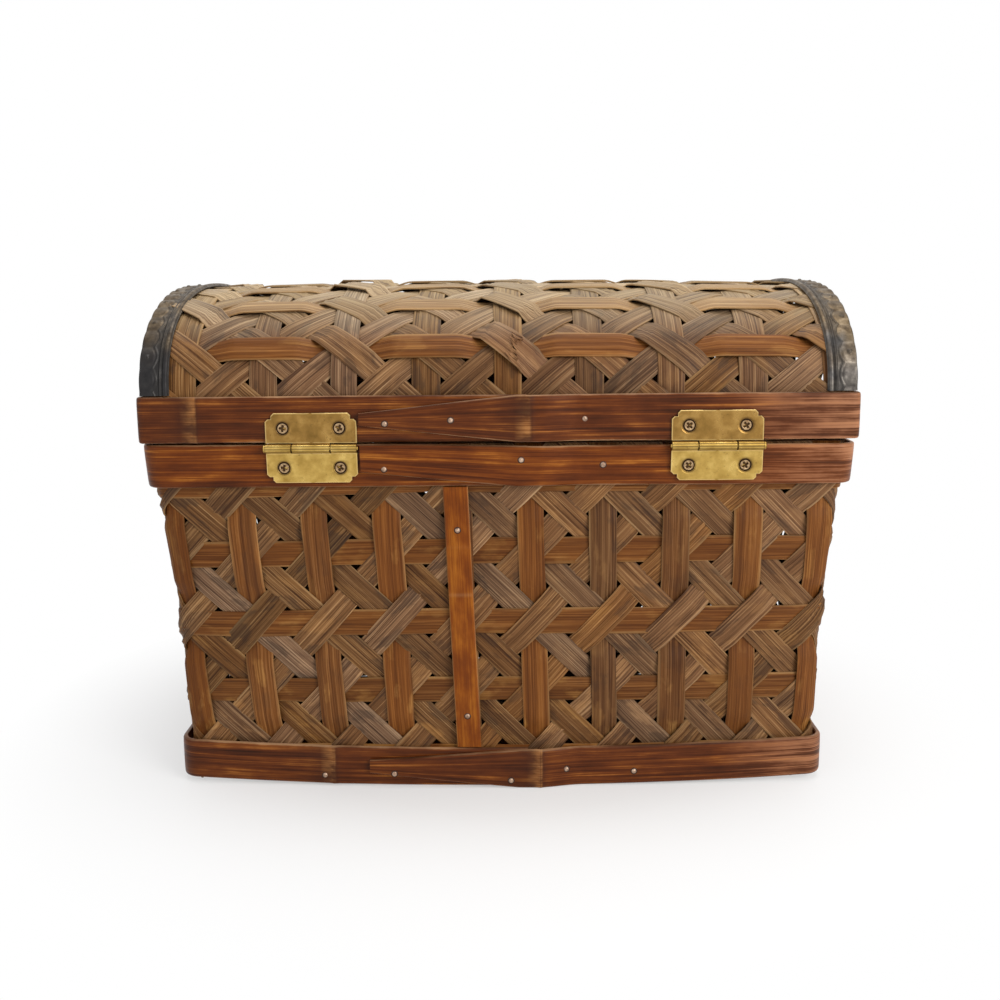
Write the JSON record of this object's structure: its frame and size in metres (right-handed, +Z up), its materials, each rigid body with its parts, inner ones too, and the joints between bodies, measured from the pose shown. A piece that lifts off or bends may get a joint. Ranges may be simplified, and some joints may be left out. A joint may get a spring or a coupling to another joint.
{
  "type": "domed woven trunk",
  "caption": "Small domed storage trunk woven from flat splints, with bent bamboo hoops, pressed tin edging, brass butt hinges and a swing hook.",
  "frame": {"origin": "on the ground under the middle of the trunk", "axes": "+Z up, +X along the trunk, +Y towards the back, where the hinges are"},
  "size_m": [0.299, 0.2069, 0.2192],
  "materials": {
    "splint": "split cane, satin to dry",
    "hoop": "dark lacquered split bamboo",
    "slat": "lacquered split bamboo",
    "tin": "pressed tin, tarnished",
    "brass": "worn brass plate"
  },
  "bodies": {
    "body": {"right_weave": "splint", "back_weave": "splint", "left_weave": "splint", "front_weave": "splint", "bottom_weave": "splint", "body_hoop": "hoop", "body_inner_hoop": "hoop", "base_hoop": "hoop", "base_inner_hoop": "hoop", "back_slat": "slat", "back_inner_slat": "slat", "latch_body_plate": "brass", "latch_body_plate_screw_1": "brass", "latch_body_plate_screw_2": "brass", "latch_rivet": "brass", "hinge_left_pin": "brass", "hinge_left_body_leaf": "brass", "hinge_left_body_screw_1": "brass", "hinge_left_body_screw_2": "brass", "hinge_right_pin": "brass", "hinge_right_body_leaf": "brass", "hinge_right_body_screw_1": "brass", "hinge_right_body_screw_2": "brass"},
    "lid": {"dome_weave": "splint", "lid_hoop": "hoop", "lid_inner_hoop": "hoop", "lid_end_left": "splint", "lid_end_right": "splint", "lid_rib_left": "slat", "lid_rib_right": "slat", "tin_edging_left": "tin", "tin_edging_right": "tin", "latch_lid_plate": "brass", "latch_lid_plate_screw_1": "brass", "latch_lid_plate_screw_2": "brass", "latch_stud": "brass", "hinge_left_lid_leaf": "brass", "hinge_left_lid_screw_1": "brass", "hinge_left_lid_screw_2": "brass", "hinge_right_lid_leaf": "brass", "hinge_right_lid_screw_1": "brass", "hinge_right_lid_screw_2": "brass"},
    "hook": {"latch_hook": "brass"}
  },
  "joints": [
    {"name": "lid_hinge", "type": "hinge", "parent": "body", "child": "lid", "pos_m": [0, 0.10155, 0.1504], "axis": [-1, 0, 0], "range_deg": [0, 160]},
    {"name": "hook_swing", "type": "hinge", "parent": "body", "child": "hook", "pos_m": [0, -0.1015, 0.1426], "axis": [0, 1, 0], "range_deg": [-155, 180]}
  ]
}
